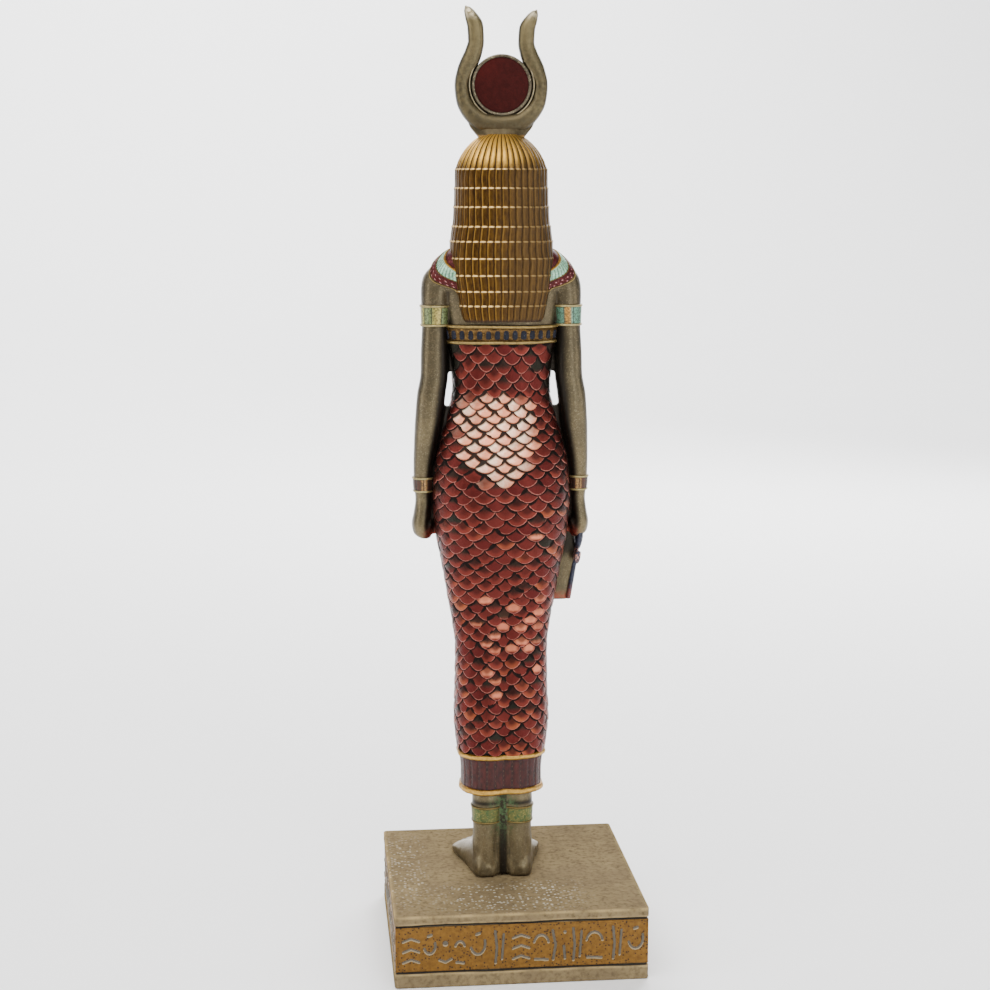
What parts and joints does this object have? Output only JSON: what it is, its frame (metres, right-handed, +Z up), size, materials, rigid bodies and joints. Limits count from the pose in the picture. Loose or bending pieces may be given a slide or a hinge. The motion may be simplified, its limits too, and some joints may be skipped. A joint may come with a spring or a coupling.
{
  "type": "statuette of a standing goddess",
  "caption": "Standing goddess in a scaled sheath dress with a long wig and a crown of cow horns and sun disc, on a square plinth.",
  "frame": {"origin": "middle of the plinth's underside", "axes": "+Z up; the figure looks along -Y; +X towards its left hand"},
  "size_m": [0.075, 0.075, 0.2823],
  "materials": {
    "bronze_skin": "cold-cast resin with bronze powder, dull antique bronze, dark wash in the hollows",
    "gold_hair": "antique gold over brown, rubbed bright on the ridges",
    "copper_scales": "metallic copper red with black-green wash between the scales",
    "maroon_enamel": "dark maroon paint, satin",
    "green_enamel": "pale mint to yellow-green paint",
    "navy_enamel": "dark navy paint, satin",
    "gold_trim": "gold paint on raised edges",
    "plinth_bronze": "dull bronze with fine glittering specks",
    "frieze_gold": "ochre gold ground with grey metal strokes"
  },
  "bodies": {
    "root": {"figure": "bronze_skin", "plinth": "plinth_bronze"}
  },
  "joints": []
}
